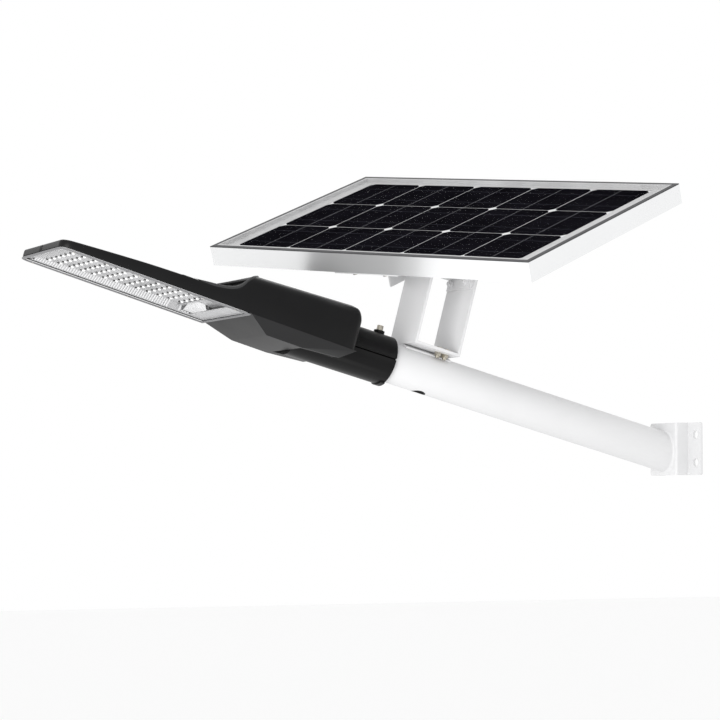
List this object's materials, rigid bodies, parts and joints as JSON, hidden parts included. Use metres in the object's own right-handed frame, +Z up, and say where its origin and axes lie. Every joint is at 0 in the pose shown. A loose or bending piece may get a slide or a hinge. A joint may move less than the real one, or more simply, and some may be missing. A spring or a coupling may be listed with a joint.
{
  "type": "solar street lamp",
  "caption": "Wall-arm solar street lamp: hat-section bracket, tube arm, swivelling and tilting framed solar panel, and a slim black LED head clamped on the tube.",
  "frame": {"origin": "centre of the wall bracket's wall face", "axes": "+X out from the wall towards the lamp head, +Z up, +Y towards the panel's high-view side"},
  "size_m": [1.0317, 0.6783, 0.4787],
  "materials": {
    "white_paint": "satin white powder coat",
    "frame_metal": "satin anodised",
    "steel": "zinc plated",
    "black_gloss": "gloss black coat",
    "black_cover": "gloss black coat",
    "rubber": "matt",
    "panel_glass": "tempered, fine texture",
    "cell": "dark blue silicon",
    "sheet_white": "satin",
    "black_plastic": "fine grain",
    "reflector": "bright",
    "lens_clear": "clear",
    "lens_frame": "satin",
    "emitter": "clear dome on a phosphor chip",
    "battery_wrap": "shrink wrap",
    "circuit": "solder mask"
  },
  "bodies": {
    "arm": {"wall_bracket": "white_paint", "arm_tube": "white_paint", "arm_weld": "white_paint", "cable_grommet": "rubber", "saddle_shoe": "white_paint", "panel_stand": "white_paint", "saddle_bolts": "steel", "saddle_nuts": "steel", "swivel_plate": "white_paint", "swivel_plate_screws": "white_paint", "swivel_bolt": "steel", "swivel_nut": "steel"},
    "swivel": {"tilt_cradle": "white_paint", "tilt_bolts": "steel", "tilt_nuts": "steel", "tilt_lock_bolt": "steel"},
    "panel": {"panel_bracket": "white_paint", "bracket_bolts": "steel", "frame_rail_front": "frame_metal", "frame_rail_back": "frame_metal", "frame_rail_left": "frame_metal", "frame_rail_right": "frame_metal", "corner_keys": "black_plastic", "panel_glass": "panel_glass", "solar_cells": "cell", "backsheet": "sheet_white", "junction_box": "black_plastic", "junction_box_lid": "black_plastic", "junction_box_glands": "black_plastic"},
    "lamp_head": {"upper_housing": "black_gloss", "lower_cover": "black_cover", "cover_gasket": "rubber", "cover_screws": "black_plastic", "clamp_upper": "black_gloss", "clamp_lower": "black_gloss", "clamp_set_bolt": "steel", "clamp_screws": "steel", "led_board": "sheet_white", "led_emitters": "emitter", "reflector": "reflector", "lens_cover": "lens_clear", "lens_frame": "lens_frame", "lens_screws": "steel", "battery_pack": "battery_wrap", "battery_holder": "black_plastic", "charge_controller": "circuit"}
  },
  "joints": [
    {"name": "panel_swivel", "type": "hinge", "parent": "arm", "child": "swivel", "pos_m": [0.40639, 0, 0.26357], "axis": [-0.2588, 0, 0.9659], "range_deg": [-90, 60]},
    {"name": "panel_tilt", "type": "hinge", "parent": "swivel", "child": "panel", "pos_m": [0.40155, 0, 0.28163], "axis": [-0.3805, 0.9191, -0.102], "range_deg": [-34, 8]},
    {"name": "head_roll", "type": "hinge", "parent": "arm", "child": "lamp_head", "pos_m": [0.56024, 0, 0.13915], "axis": [0.9659, 0, 0.2588], "range_deg": [-15, 15]}
  ]
}
